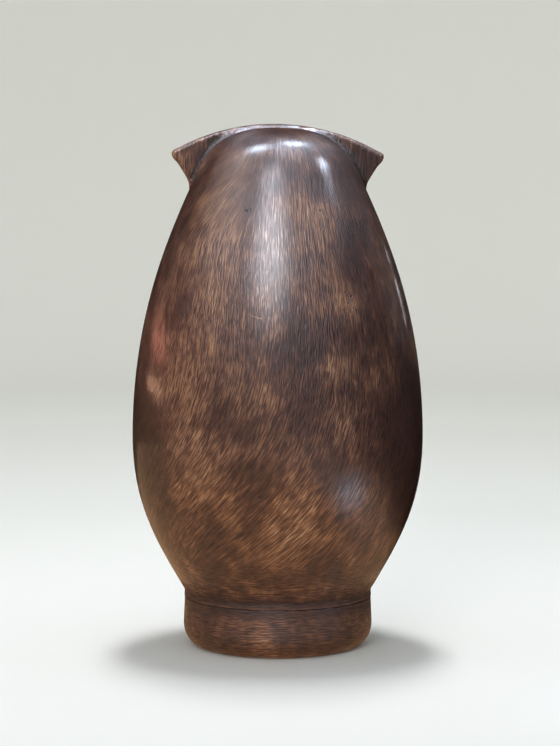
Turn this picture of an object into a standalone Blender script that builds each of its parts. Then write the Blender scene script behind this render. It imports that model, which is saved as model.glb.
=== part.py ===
"""Carved wooden owl figurine: one carved body block on a turned foot, with inlaid eyes.

Metres, +Z up. The owl faces -Y, so its own left side is +X. The origin is the centre of the face it
stands on, the underside of the felt pad. Sizes below are in millimetres and are scaled where points
are made.
"""

import math

import bmesh
import bpy
from mathutils import Matrix, Vector

MM = 0.001
GAP = 0.3  # clearance between two pieces that meet, for glue or wax
CUT_PAST = 5.0  # how far a cutter runs past the face that it opens

# Body outline, half width against height: neck, belly, shoulder and crown, joined by Bezier curves.
NECK_R, NECK_Z = 37.2, 20.1
NECK_LEAN = math.radians(30.5)
NECK_PULL = 22.0
BELLY_R, BELLY_Z = 58.7, 85.5
BELLY_PULL_DOWN, BELLY_PULL_UP = 28.5, 40.0
SHOULDER_R, SHOULDER_Z = 35.6, 184.0
SHOULDER_LEAN = math.radians(24.7)
SHOULDER_PULL_DOWN, SHOULDER_PULL_UP = 30.0, 14.7
CROWN_Z = 208.8
CROWN_PULL = 26.6
BACK_DEPTH, FRONT_DEPTH = 0.95, 0.90  # depth of each half against half width, above the neck
DEPTH_BLEND = 30.0  # height over which the round neck turns into that section

# Brow and facial disc: a curved slab across the front of the head, ending in the two ear tufts.
BROW_TOP_Z = 210.7
BROW_ARC_R = 84.0
BROW_TILT = 0.016  # the hand-cut brow rises a little towards the owl's left
EAR_TIP_X = 43.2
EAR_TIP_Z = 198.3
EAR_ROUND = 1.9  # length of the rounded tip
EAR_ROOT_X, EAR_ROOT_Z = 35.8, 186.4
DISC_Z, DISC_HALF_W, DISC_HALF_H = 185.0, 35.9, 38.0
SLAB_BACK_Y = -7.0
FACE_TOP_Y, FACE_TOP_Z = -24.0, 208.0
FACE_SLOPE = 0.24  # forward lean of the face, per unit of height
FACE_ROUND_R = 70.0
RIM_HEIGHT, RIM_WIDTH, BROW_WIDTH = 1.2, 3.5, 5.0
EDGE_ROUND = 1.8

# Eyes: a shallow dish round each, and a drilled socket that holds a disc and its pupil peg.
EYE_X, EYE_Y, EYE_Z = 17.0, -24.9, 182.0
EYE_TURN, EYE_LIFT = 0.20, 0.20
DISH_R = 31.0
EYE_R, EYE_RIM, EYE_DOME = 10.0, 0.9, 2.6
SOCKET_DEPTH, SOCKET_REACH = 3.0, 12.0
PUPIL_R, PUPIL_DOME, PUPIL_LENGTH = 4.2, 1.3, 9.0

# Beak and toes.
BEAK_HALF_W, BEAK_HALF_D, BEAK_HALF_H = 5.2, 7.0, 11.5
BEAK_Y, BEAK_Z = -32.5, 175.5
BEAK_TAPER, BEAK_CURL = 0.75, 2.5
TOE_ANGLES = (11.0, 23.0, 35.0)  # from straight ahead, in degrees
TOE_REACH, TOE_Z = 38.0, 24.6
TOE_HALF_L, TOE_HALF_W, TOE_HALF_H = 9.0, 3.4, 3.7
CLAW_START, CLAW_TAPER, CLAW_DROP = 0.35, 0.45, 6.5

# Foot, felt pad and the hidden fixings.
FOOT_TOP_R, FOOT_WIDE_R, FOOT_WIDE_Z, FOOT_BASE_R = 36.9, 38.2, 11.0, 32.0
FOOT_TOP_Z = NECK_Z - GAP
FOOT_BASE_Z = 0.3
FELT_R, FELT_T = 29.0, 1.5
DOWEL_R, DOWEL_BOTTOM_Z, DOWEL_TOP_Z, DOWEL_CHAMFER = 8.0, 6.3, 43.7, 1.2
SCREW_X = 21.0
SCREW_HEAD_Z, SCREW_TIP_Z = 2.2, 38.0
SCREW_HEAD_R, SCREW_HEAD_H, SCREW_R, SCREW_CORE_R = 4.4, 2.6, 2.2, 1.5
SCREW_POINT = 4.0
THREAD_START_Z, THREAD_PITCH, THREADS = 21.0, 2.0, 6
SLOT_WIDTH, SLOT_DEPTH = 1.2, 1.1

BODY_SIDES, FOOT_SIDES, EYE_SIDES, SMALL_SIDES, SCREW_SIDES = 56, 56, 32, 24, 16
SIDES = (("left", 1), ("right", -1))  # the owl's own left and right, with the sign of X


def clear_scene():
    for obj in list(bpy.data.objects):
        bpy.data.objects.remove(obj, do_unlink=True)


def finish_material(name, color, roughness, metallic=0.0):
    material = bpy.data.materials.new(name)
    material.use_nodes = True
    shader = material.node_tree.nodes["Principled BSDF"]
    shader.inputs["Base Color"].default_value = (*color, 1.0)
    shader.inputs["Roughness"].default_value = roughness
    shader.inputs["Metallic"].default_value = metallic
    return material


def object_from(name, bm, material=None):
    """Links a mesh made of millimetre points as an object in metres."""
    bmesh.ops.recalc_face_normals(bm, faces=bm.faces)
    bmesh.ops.scale(bm, vec=(MM, MM, MM), verts=bm.verts)
    mesh = bpy.data.meshes.new(name)
    bm.to_mesh(mesh)
    bm.free()
    mesh.shade_smooth()
    mesh.set_sharp_from_angle(angle=math.radians(35))
    obj = bpy.data.objects.new(name, mesh)
    bpy.context.scene.collection.objects.link(obj)
    if material:
        mesh.materials.append(material)
    return obj


def tool(obj):
    """Marks a shape that only cuts or joins another, so that it isn't a piece itself."""
    obj.hide_render = True
    obj.display_type = "WIRE"
    return obj


def boolean(obj, other, operation):
    modifier = obj.modifiers.new(f"{operation.lower()}_{other.name}", "BOOLEAN")
    modifier.operation = operation
    modifier.object = tool(other)


def bezier(start, start_pull, end_pull, end, steps):
    """Points of a cubic Bezier curve, without its last one."""
    points = []
    for i in range(steps):
        t = i / steps
        s = 1 - t
        points.append(
            s**3 * Vector(start)
            + 3 * s**2 * t * Vector(start_pull)
            + 3 * s * t**2 * Vector(end_pull)
            + t**3 * Vector(end)
        )
    return points


def turned(outline, sides):
    """A solid of revolution about Z from (radius, height) points, closed where it starts and ends."""
    bm = bmesh.new()
    ring = [bm.verts.new((r, 0, z)) for r, z in outline]
    edges = [bm.edges.new(pair) for pair in zip(ring, ring[1:])]
    if outline[0][0] > 0:
        edges.append(bm.edges.new((ring[-1], ring[0])))
    whole = ring + edges
    about = {"cent": (0, 0, 0), "axis": (0, 0, 1), "angle": math.tau, "use_merge": True}
    bmesh.ops.spin(bm, geom=whole, steps=sides, **about)
    bmesh.ops.remove_doubles(bm, verts=bm.verts, dist=1e-4)
    return bm


def rod(radius, bottom, top, chamfer=0.0):
    """Outline of a round bar."""
    if not chamfer:
        return [(0, bottom), (radius, bottom), (radius, top), (0, top)]
    return [
        (0, bottom),
        (radius - chamfer, bottom),
        (radius, bottom + chamfer),
        (radius, top - chamfer),
        (radius - chamfer, top),
        (0, top),
    ]


def lofted(rings):
    """A closed solid through rings of equal point counts."""
    bm = bmesh.new()
    rows = [[bm.verts.new(p) for p in ring] for ring in rings]
    for a, b in zip(rows, rows[1:]):
        for i in range(len(a)):
            j = (i + 1) % len(a)
            bm.faces.new((a[i], a[j], b[j], b[i]))
    bm.faces.new(rows[0])
    bm.faces.new(rows[-1])
    return bm


def body_outline():
    neck = Vector((NECK_R, NECK_Z))
    up_and_out = Vector((math.sin(NECK_LEAN), math.cos(NECK_LEAN)))
    belly = Vector((BELLY_R, BELLY_Z))
    shoulder = Vector((SHOULDER_R, SHOULDER_Z))
    up_and_in = Vector((-math.sin(SHOULDER_LEAN), math.cos(SHOULDER_LEAN)))
    crown = Vector((0, CROWN_Z))
    under_belly = belly - Vector((0, BELLY_PULL_DOWN))
    over_belly = belly + Vector((0, BELLY_PULL_UP))
    under_shoulder = shoulder - SHOULDER_PULL_DOWN * up_and_in
    over_shoulder = shoulder + SHOULDER_PULL_UP * up_and_in
    beside_crown = crown + Vector((CROWN_PULL, 0))
    return [
        Vector((0, NECK_Z)),
        *bezier(neck, neck + NECK_PULL * up_and_out, under_belly, belly, 10),
        *bezier(belly, over_belly, under_shoulder, shoulder, 13),
        *bezier(shoulder, over_shoulder, beside_crown, crown, 8),
        crown,
    ]


def make_egg(material):
    """The turned egg of the body, its back and front flattened above the round neck."""
    bm = turned(body_outline(), BODY_SIDES)
    for v in bm.verts:
        share = min(1.0, max(0.0, (v.co.z - NECK_Z) / DEPTH_BLEND))
        share = share * share * (3 - 2 * share)
        depth = BACK_DEPTH if v.co.y > 0 else FRONT_DEPTH
        v.co.y *= 1 + (depth - 1) * share
    return object_from("body", bm, material)


def face_y(x, z):
    """Depth of the face's curved surface."""
    return FACE_TOP_Y - FACE_SLOPE * (FACE_TOP_Z - z) + x * x / (2 * FACE_ROUND_R)


def brow_z(x):
    """Top edge of the slab."""
    return BROW_TOP_Z + BROW_TILT * x - (BROW_ARC_R - math.sqrt(BROW_ARC_R**2 - x * x))


def lower_z(x):
    """Lower edge of the slab: the facial disc's curve, then the straight underside of the ear tuft."""
    if abs(x) < EAR_ROOT_X:
        return DISC_Z - DISC_HALF_H * math.sqrt(1 - (x / DISC_HALF_W) ** 2)
    share = (abs(x) - EAR_ROOT_X) / (EAR_TIP_X - EAR_ROOT_X)
    return EAR_ROOT_Z + BROW_TILT * x + share * (EAR_TIP_Z - EAR_ROOT_Z)


def rounded_section(x, corners, radius):
    """One closed section at x through (y, z) corners, each rounded off with three points."""
    points = []
    count = len(corners)
    for i, corner in enumerate(corners):
        corner = Vector(corner)
        ends = []
        for neighbour in (corners[i - 1], corners[(i + 1) % count]):
            away = Vector(neighbour) - corner
            ends.append(corner + away * min(radius / away.length, 0.45))
        middle = (ends[0] + 2 * corner + ends[1]) / 4
        points += [(x, *ends[0]), (x, *middle), (x, *ends[1])]
    return points


def make_brow_slab():
    """The slab that carries the brow, the facial disc's rim and the ear tufts."""
    round_start = EAR_TIP_X - EAR_ROUND
    half = [0, 5, 10, 15, 20, 25, 29, 32.5, 34.8, EAR_ROOT_X, 37.5, 39.5, round_start]
    half += [round_start + share * EAR_ROUND for share in (0.5, 0.8, 0.96)]
    rings = []
    for x in [-x for x in reversed(half[1:])] + half:
        top, bottom = brow_z(x), lower_z(x)
        past = (abs(x) - round_start) / EAR_ROUND
        if past > 0:
            closing = math.sqrt(1 - past**2)
            start = math.copysign(round_start, x)
            tip = EAR_TIP_Z + BROW_TILT * x
            top = tip + (brow_z(start) - tip) * closing
            bottom = tip + (lower_z(start) - tip) * closing
        corners = [
            (SLAB_BACK_Y, top),
            (face_y(x, top) - RIM_HEIGHT, top),
            (face_y(x, bottom) - RIM_HEIGHT, bottom),
            (SLAB_BACK_Y, bottom),
        ]
        rings.append(rounded_section(x, corners, EDGE_ROUND))
    return object_from("brow_slab", lofted(rings))


def make_face_hollow():
    """What is carved away in front of the face, inside the raised rim."""
    front_y = -1.5 * BELLY_R
    half_width, steps = DISC_HALF_W - RIM_WIDTH, 8
    rings = []
    for i in range(-steps, steps + 1):
        x = half_width * i / steps
        share = math.sqrt(1 - 0.95 * (x / half_width) ** 2)
        top = brow_z(x) - BROW_WIDTH
        bottom = DISC_Z - (DISC_HALF_H - RIM_WIDTH) * share
        rings.append(
            [
                (x, face_y(x, top), top),
                (x, front_y, top),
                (x, front_y, bottom),
                (x, face_y(x, bottom), bottom),
            ]
        )
    return object_from("face_hollow", lofted(rings))


def eye_place(side):
    """Matrix with its +Z along the eye's axis, out of the head, at the bottom of the dish."""
    axis = Vector((side * EYE_TURN, -1, EYE_LIFT)).normalized()
    turn = axis.to_track_quat("Z", "Y").to_matrix().to_4x4()
    return Matrix.Translation(Vector((side * EYE_X, EYE_Y, EYE_Z)) * MM) @ turn


def place(obj, matrix):
    obj.matrix_world = matrix
    return obj


def make_dish(name, side):
    bm = bmesh.new()
    bmesh.ops.create_uvsphere(bm, u_segments=40, v_segments=26, radius=DISH_R)
    bmesh.ops.translate(bm, verts=bm.verts, vec=(0, 0, DISH_R))
    return place(object_from(name, bm), eye_place(side))


def make_socket(name, side):
    """Cutter for the stepped hole that takes an eye disc and its pupil peg."""
    outline = [
        (0, -PUPIL_LENGTH - GAP),
        (PUPIL_R + GAP, -PUPIL_LENGTH - GAP),
        (PUPIL_R + GAP, -SOCKET_DEPTH),
        (EYE_R + GAP, -SOCKET_DEPTH),
        (EYE_R + GAP, SOCKET_REACH),
        (0, SOCKET_REACH),
    ]
    return place(object_from(name, turned(outline, EYE_SIDES)), eye_place(side))


def make_beak():
    """A hooked wedge: an egg shape that narrows and curls under towards its tip."""
    bm = bmesh.new()
    bmesh.ops.create_uvsphere(bm, u_segments=16, v_segments=12, radius=1)
    for v in bm.verts:
        down = (1 - v.co.z) / 2
        width = 1 - BEAK_TAPER * down**1.6
        v.co = Vector(
            (
                v.co.x * BEAK_HALF_W * width,
                v.co.y * BEAK_HALF_D * width - BEAK_CURL * math.sin(math.pi * down),
                v.co.z * BEAK_HALF_H,
            )
        )
    bmesh.ops.translate(bm, verts=bm.verts, vec=(0, BEAK_Y, BEAK_Z))
    return object_from("beak_shape", bm)


def make_toe(name, angle):
    """One toe, pointing forward over the foot's edge, its claw turned down."""
    bm = bmesh.new()
    lying = Matrix.Rotation(math.pi / 2, 4, "X")
    bmesh.ops.create_uvsphere(bm, u_segments=12, v_segments=10, radius=1, matrix=lying)
    for v in bm.verts:
        reach = max(0.0, -v.co.y - CLAW_START) / (1 - CLAW_START)
        narrow = 1 - CLAW_TAPER * reach**2
        v.co = Vector(
            (
                v.co.x * TOE_HALF_W * narrow,
                v.co.y * TOE_HALF_L,
                v.co.z * TOE_HALF_H * narrow - CLAW_DROP * reach**3,
            )
        )
    bmesh.ops.translate(bm, verts=bm.verts, vec=(0, -TOE_REACH, TOE_Z))
    return place(object_from(name, bm), Matrix.Rotation(math.radians(angle), 4, "Z"))


def make_body(wood):
    """The carved block: egg, brow slab with ear tufts, face, beak and toes, drilled from below."""
    body = make_egg(wood)
    boolean(body, make_brow_slab(), "UNION")
    for word, side in SIDES:
        for number, angle in enumerate(TOE_ANGLES, 1):
            boolean(body, make_toe(f"{word}_toe_{number}", side * angle), "UNION")
    boolean(body, make_face_hollow(), "DIFFERENCE")
    for word, side in SIDES:
        boolean(body, make_dish(f"{word}_dish", side), "DIFFERENCE")
    boolean(body, make_beak(), "UNION")
    dowel_hole = turned(rod(DOWEL_R + GAP, NECK_Z - CUT_PAST, DOWEL_TOP_Z + GAP), SMALL_SIDES)
    boolean(body, object_from("body_dowel_hole", dowel_hole), "DIFFERENCE")
    for word, side in SIDES:
        bm = turned(rod(SCREW_R + GAP, NECK_Z - CUT_PAST, SCREW_TIP_Z + GAP), SCREW_SIDES)
        bmesh.ops.translate(bm, verts=bm.verts, vec=(side * SCREW_X, 0, 0))
        boolean(body, object_from(f"{word}_pilot_hole", bm), "DIFFERENCE")
        boolean(body, make_socket(f"{word}_socket", side), "DIFFERENCE")
    return body


def make_plinth(wood):
    """The turned foot: slightly waisted under the joint, rounded under, recessed for the felt."""
    outline = [(0, FELT_T + GAP), (FELT_R + GAP, FELT_T + GAP), (FELT_R + GAP, FOOT_BASE_Z)]
    under_steps, side_steps = 7, 5
    for i in range(under_steps):
        angle = math.pi / 2 * i / under_steps
        outline.append(
            (
                FOOT_BASE_R + (FOOT_WIDE_R - FOOT_BASE_R) * math.sin(angle),
                FOOT_WIDE_Z - (FOOT_WIDE_Z - FOOT_BASE_Z) * math.cos(angle),
            )
        )
    for i in range(side_steps + 1):
        share = i / side_steps
        outline.append(
            (
                FOOT_WIDE_R - (FOOT_WIDE_R - FOOT_TOP_R) * share * share * (3 - 2 * share),
                FOOT_WIDE_Z + (FOOT_TOP_Z - FOOT_WIDE_Z) * share,
            )
        )
    outline.append((0, FOOT_TOP_Z))
    plinth = object_from("plinth", turned(outline, FOOT_SIDES), wood)
    dowel_hole = turned(rod(DOWEL_R + GAP, DOWEL_BOTTOM_Z - GAP, FOOT_TOP_Z + CUT_PAST), SMALL_SIDES)
    boolean(plinth, object_from("plinth_dowel_hole", dowel_hole), "DIFFERENCE")
    for word, side in SIDES:
        sink = [
            (0, -CUT_PAST),
            (SCREW_HEAD_R + GAP, -CUT_PAST),
            (SCREW_HEAD_R + GAP, SCREW_HEAD_Z + GAP),
            (SCREW_R + GAP, SCREW_HEAD_Z + SCREW_HEAD_H + GAP),
            (SCREW_R + GAP, FOOT_TOP_Z + CUT_PAST),
            (0, FOOT_TOP_Z + CUT_PAST),
        ]
        bm = turned(sink, SCREW_SIDES)
        bmesh.ops.translate(bm, verts=bm.verts, vec=(side * SCREW_X, 0, 0))
        boolean(plinth, object_from(f"{word}_screw_hole", bm), "DIFFERENCE")
    return plinth


def make_dowel(material):
    outline = rod(DOWEL_R, DOWEL_BOTTOM_Z, DOWEL_TOP_Z, DOWEL_CHAMFER)
    return object_from("centre_dowel", turned(outline, SMALL_SIDES), material)


def make_screw(name, side, material):
    """A slotted countersunk wood screw, its thread drawn as rings."""
    outline = [
        (0, SCREW_HEAD_Z),
        (SCREW_HEAD_R, SCREW_HEAD_Z),
        (SCREW_R, SCREW_HEAD_Z + SCREW_HEAD_H),
        (SCREW_R, THREAD_START_Z),
    ]
    for i in range(THREADS):
        z = THREAD_START_Z + i * THREAD_PITCH
        outline += [(SCREW_CORE_R, z + 0.5 * THREAD_PITCH), (SCREW_R, z + THREAD_PITCH)]
    outline += [(SCREW_CORE_R, SCREW_TIP_Z - SCREW_POINT), (0, SCREW_TIP_Z)]
    bm = turned(outline, SCREW_SIDES)
    bmesh.ops.translate(bm, verts=bm.verts, vec=(side * SCREW_X, 0, 0))
    screw = object_from(name, bm, material)
    slot = bmesh.new()
    bmesh.ops.create_cube(slot, size=1)
    bmesh.ops.scale(slot, verts=slot.verts, vec=(3 * SCREW_HEAD_R, SLOT_WIDTH, 2 * SLOT_DEPTH))
    bmesh.ops.translate(slot, verts=slot.verts, vec=(side * SCREW_X, 0, SCREW_HEAD_Z))
    boolean(screw, object_from(f"{name}_slot", slot), "DIFFERENCE")
    return screw


def make_felt(material):
    return object_from("felt_pad", turned(rod(FELT_R, 0, FELT_T), FOOT_SIDES), material)


def make_eye_disc(name, side, material):
    """A low dome with a hole through it for the pupil."""
    inner = PUPIL_R + GAP
    bottom = -SOCKET_DEPTH + GAP
    outline = [(inner, bottom), (EYE_R, bottom)]
    steps = 5
    for i in range(steps + 1):
        share = i / steps
        rise = (EYE_DOME - EYE_RIM) * math.sin(math.pi / 2 * share)
        outline.append((EYE_R + (inner - EYE_R) * share, EYE_RIM + rise))
    return place(object_from(name, turned(outline, EYE_SIDES), material), eye_place(side))


def make_pupil(name, side, material):
    """A round peg with a domed head, glued through the disc into the head."""
    chamfer, steps = 0.8, 5
    outline = [(0, -PUPIL_LENGTH), (PUPIL_R - chamfer, -PUPIL_LENGTH), (PUPIL_R, -PUPIL_LENGTH + chamfer)]
    for i in range(steps):
        angle = math.pi / 2 * i / steps
        outline.append((PUPIL_R * math.cos(angle), EYE_DOME + PUPIL_DOME * math.sin(angle)))
    outline.append((0, EYE_DOME + PUPIL_DOME))
    return place(object_from(name, turned(outline, SMALL_SIDES), material), eye_place(side))


def main():
    clear_scene()
    dark_wood = finish_material("dark_wood", (0.085, 0.045, 0.028), 0.32)
    boxwood = finish_material("boxwood", (0.60, 0.42, 0.22), 0.35)
    ebony = finish_material("ebony", (0.012, 0.010, 0.009), 0.15)
    beech = finish_material("beech", (0.55, 0.38, 0.24), 0.7)
    steel = finish_material("steel", (0.60, 0.58, 0.55), 0.35, metallic=1.0)
    felt = finish_material("felt", (0.03, 0.06, 0.04), 0.95)
    make_body(dark_wood)
    make_plinth(dark_wood)
    make_dowel(beech)
    make_felt(felt)
    for word, side in SIDES:
        make_screw(f"{word}_plinth_screw", side, steel)
        make_eye_disc(f"{word}_eye_disc", side, boxwood)
        make_pupil(f"{word}_eye_pupil", side, ebony)


main()
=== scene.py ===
import math

import bpy
import numpy as np
from mathutils import Matrix, Vector


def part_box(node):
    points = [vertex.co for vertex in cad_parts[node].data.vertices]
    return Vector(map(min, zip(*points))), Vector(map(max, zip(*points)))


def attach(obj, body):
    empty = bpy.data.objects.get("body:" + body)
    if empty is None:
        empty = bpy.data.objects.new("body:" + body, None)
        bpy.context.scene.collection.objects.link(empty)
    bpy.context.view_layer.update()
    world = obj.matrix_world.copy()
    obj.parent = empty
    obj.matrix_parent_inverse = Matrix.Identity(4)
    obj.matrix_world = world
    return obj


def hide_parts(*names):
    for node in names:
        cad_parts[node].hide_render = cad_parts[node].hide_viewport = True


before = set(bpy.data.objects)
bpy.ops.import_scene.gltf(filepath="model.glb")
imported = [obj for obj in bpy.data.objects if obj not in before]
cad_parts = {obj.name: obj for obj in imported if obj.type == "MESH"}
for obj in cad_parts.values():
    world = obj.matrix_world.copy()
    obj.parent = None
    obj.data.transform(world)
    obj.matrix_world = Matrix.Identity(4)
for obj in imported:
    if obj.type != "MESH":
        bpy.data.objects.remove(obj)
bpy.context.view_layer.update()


# ---- Body ----
# One block of dark hardwood, turned to an egg with a low lip at its neck. The brow, ear tufts, face, beak,
# wings and toes are carved from the same wood, and the back is left smooth, stained and waxed. A dowel
# and two screws hold it on its foot from beneath.

MM = 0.001
GAP = 0.3
BELLY_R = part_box("body")[1].x / MM
NECK_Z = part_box("plinth")[1].z / MM + GAP
LIP_R, LIP_H = 38.0, 2.4
SPARE = 2.0
NECK_LEAN = math.radians(30.5)
BELLY_Z = 85.5
SHOULDER_R, SHOULDER_Z = 35.6, 184.0
SHOULDER_LEAN = math.radians(24.7)
CROWN_Z = 208.8
BACK_DEPTH, FRONT_DEPTH, DEPTH_BLEND = 0.95, 0.90, 30.0
VOXEL = 1.0

BROW_TOP_Z, BROW_ARC_R, BROW_TILT = 210.7, 84.0, 0.016
EAR_TIP_X, EAR_TIP_Z, EAR_ROUND = 43.2, 198.3, 1.9
EAR_ROOT_X, EAR_ROOT_Z = 35.8, 186.4
DISC_Z, DISC_HALF_W, DISC_HALF_H = 185.0, 35.9, 38.0
SLAB_BACK_Y = -7.0
FACE_TOP_Y, FACE_TOP_Z, FACE_SLOPE, FACE_ROUND_R = -24.0, 208.0, 0.24, 70.0
RIM_HEIGHT, RIM_WIDTH, BROW_WIDTH = 1.2, 3.5, 5.0


def start_fresh():
    """Object mode with nothing selected, so that an operator acts only on what comes next."""
    if bpy.context.object and bpy.context.object.mode != "OBJECT":
        bpy.ops.object.mode_set(mode="OBJECT")
    bpy.ops.object.select_all(action="DESELECT")


def points_of(piece):
    """The piece's points in millimetres."""
    flat = np.empty(len(piece.data.vertices) * 3, np.float32)
    piece.data.vertices.foreach_get("co", flat)
    return flat.reshape(-1, 3).astype(float) / MM


def put_points(piece, points):
    piece.data.vertices.foreach_set("co", (points * MM).astype(np.float32).ravel())
    piece.data.update()


def normals_of(piece):
    flat = np.empty(len(piece.data.vertices) * 3, np.float32)
    piece.data.vertices.foreach_get("normal", flat)
    return flat.reshape(-1, 3).astype(float)


def outline(knots, steps):
    """A mesh line in the XZ plane through (point, pull before, pull after) knots, in millimetres."""
    start_fresh()
    bpy.ops.curve.primitive_bezier_curve_add(location=(0, 0, 0))
    curve = bpy.context.object
    spline = curve.data.splines[0]
    spline.bezier_points.add(len(knots) - 2)
    for point, (place, before, after) in zip(spline.bezier_points, knots):
        point.handle_left_type = point.handle_right_type = "FREE"
        point.co = Vector((place[0], 0, place[1])) * MM
        point.handle_left = point.co + Vector((before[0], 0, before[1])) * MM
        point.handle_right = point.co + Vector((after[0], 0, after[1])) * MM
    curve.data.resolution_u = steps
    bpy.ops.object.convert(target="MESH")
    return bpy.context.object


def spin(piece, steps):
    """Turns an outline round the Z axis into a closed solid."""
    start_fresh()
    piece.select_set(True)
    bpy.context.view_layer.objects.active = piece
    bpy.ops.object.mode_set(mode="EDIT")
    bpy.ops.mesh.select_all(action="SELECT")
    bpy.ops.mesh.spin(steps=steps, angle=math.tau, center=(0, 0, 0), axis=(0, 0, 1))
    bpy.ops.mesh.select_all(action="SELECT")
    bpy.ops.mesh.remove_doubles(threshold=0.02 * MM)
    bpy.ops.mesh.normals_make_consistent(inside=False)
    bpy.ops.object.mode_set(mode="OBJECT")
    return piece


def smooth_within(piece, degrees):
    """Shades the piece smooth, but for edges sharper than so many degrees."""
    start_fresh()
    piece.select_set(True)
    bpy.context.view_layer.objects.active = piece
    bpy.ops.object.shade_smooth_by_angle(angle=math.radians(degrees))


def lean(angle, length):
    """A knot's pull of this length, leaning out from upright."""
    return (length * math.sin(angle), length * math.cos(angle))


def opposite(pull):
    return (-pull[0], -pull[1])


def step(value, low, high):
    """A smooth step from 0 to 1."""
    share = np.clip((value - low) / (high - low), 0, 1)
    return share * share * (3 - 2 * share)


neck_pull = lean(NECK_LEAN, 22.0)
body_knots = [
    ((0, NECK_Z - SPARE), (0, 0), (LIP_R / 3, 0)),
    ((LIP_R, NECK_Z - SPARE), (-LIP_R / 3, 0), (0, 0.5)),
    ((LIP_R - 0.2, NECK_Z + LIP_H), (0, -1.0), neck_pull),
    ((BELLY_R, BELLY_Z), (0, -28.5), (0, 40.0)),
    ((SHOULDER_R, SHOULDER_Z), opposite(lean(-SHOULDER_LEAN, 30.0)), lean(-SHOULDER_LEAN, 14.7)),
    ((0, CROWN_Z), (26.6, 0), (0, 0)),
]
body = outline(body_knots, 40)
profile = points_of(body)[:, [0, 2]]
spin(body, 144)


def depth_at(points):
    """How deep the egg is against its width: less at the front and back than at the sides."""
    share = step(points[:, 2], NECK_Z, NECK_Z + DEPTH_BLEND)
    return 1 + (np.where(points[:, 1] > 0, BACK_DEPTH, FRONT_DEPTH) - 1) * share


points = points_of(body)
points[:, 1] *= depth_at(points)
put_points(body, points)


def face_y(x, z):
    """How far forward the face lies, before its hollows."""
    return FACE_TOP_Y - FACE_SLOPE * (FACE_TOP_Z - z) + x * x / (2 * FACE_ROUND_R)


def brow_z(x):
    """Height of the brow, one long arc from ear tuft to ear tuft."""
    return BROW_TOP_Z + BROW_TILT * x - (BROW_ARC_R - np.sqrt(BROW_ARC_R**2 - x * x))


def lower_z(x):
    """Height of the slab's underside: the facial disc, then each ear tuft."""
    disc = DISC_Z - DISC_HALF_H * np.sqrt(np.clip(1 - (x / DISC_HALF_W) ** 2, 0, 1))
    share = (np.abs(x) - EAR_ROOT_X) / (EAR_TIP_X - EAR_ROOT_X)
    ear = EAR_ROOT_Z + BROW_TILT * x + share * (EAR_TIP_Z - EAR_ROOT_Z)
    return np.where(np.abs(x) < EAR_ROOT_X, disc, ear)


def slab_edge(x, upper):
    """Height of the brow slab's upper or lower edge, drawn together at the rounded ear tips."""
    start = np.clip(x, EAR_ROUND - EAR_TIP_X, EAR_TIP_X - EAR_ROUND)
    past = np.clip((np.abs(x) - (EAR_TIP_X - EAR_ROUND)) / EAR_ROUND, 0, 1)
    edge = np.where(upper, brow_z(start), lower_z(start))
    tip = EAR_TIP_Z + BROW_TILT * x
    return np.where(past > 0, tip + (edge - tip) * np.sqrt(1 - past**2), edge)


# The slab of wood across the front of the head that holds the brow, the ear tufts and the facial disc.
start_fresh()
bpy.ops.mesh.primitive_circle_add(vertices=240, radius=1, fill_type="NGON", rotation=(math.pi / 2, 0, 0))
bpy.ops.object.transform_apply(location=True, rotation=True, scale=True)
slab = bpy.context.object
points = points_of(slab)
angle = np.arctan2(points[:, 2], points[:, 0])
x = EAR_TIP_X * np.cos(angle)
points = np.column_stack([x, np.full(len(x), SLAB_BACK_Y), slab_edge(x, np.sin(angle) > 0)])
put_points(slab, points)
bpy.ops.object.mode_set(mode="EDIT")
bpy.ops.mesh.select_all(action="SELECT")
bpy.ops.mesh.extrude_region_move(TRANSFORM_OT_translate={"value": (0, -40 * MM, 0)})
bpy.ops.mesh.select_all(action="SELECT")
bpy.ops.mesh.normals_make_consistent(inside=False)
bpy.ops.object.mode_set(mode="OBJECT")
points = points_of(slab)
front = points[:, 1] < SLAB_BACK_Y - 1
points[front, 1] = face_y(points[front, 0], points[front, 2]) - RIM_HEIGHT
put_points(slab, points)
bevel = slab.modifiers.new("eased_edges", "BEVEL")
bevel.width = 1.3 * MM
bevel.segments = 3
bevel.limit_method = "ANGLE"
bevel.angle_limit = math.radians(50)
bpy.ops.object.modifier_apply(modifier=bevel.name)


def join(first, *others):
    start_fresh()
    for piece in (first, *others):
        piece.select_set(True)
    bpy.context.view_layer.objects.active = first
    bpy.ops.object.join()
    return first


def fuse(piece, size):
    """Melts overlapping shapes into one skin of even faces, size millimetres across."""
    start_fresh()
    bpy.context.view_layer.objects.active = piece
    piece.select_set(True)
    remesh = piece.modifiers.new("one_skin", "REMESH")
    remesh.mode = "VOXEL"
    remesh.voxel_size = size * MM
    remesh.use_smooth_shade = True
    bpy.ops.object.modifier_apply(modifier=remesh.name)
    return piece


join(body, slab)
fuse(body, VOXEL)

# The face: a hollow within the brow, two dishes round the eyes, a ridge from the beak to each ear tuft.
EYE_X, EYE_Y, EYE_Z = 17.0, -24.9, 182.0
EYE_TURN, EYE_LIFT = 0.20, 0.20
DISH_R = 31.0
EYE_R = 10.0
RIDGE_Z, RIDGE_RISE, RIDGE_RUN, RIDGE_PROUD = 190.5, 9.0, 9.0, 2.6
SIDES = (("left", 1), ("right", -1))


def hill(distance, width):
    """1 at no distance, dying away over the width."""
    return np.exp(-((distance / width) ** 2))


def eye_axis(side):
    return Vector((side * EYE_TURN, -1, EYE_LIFT)).normalized()


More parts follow.
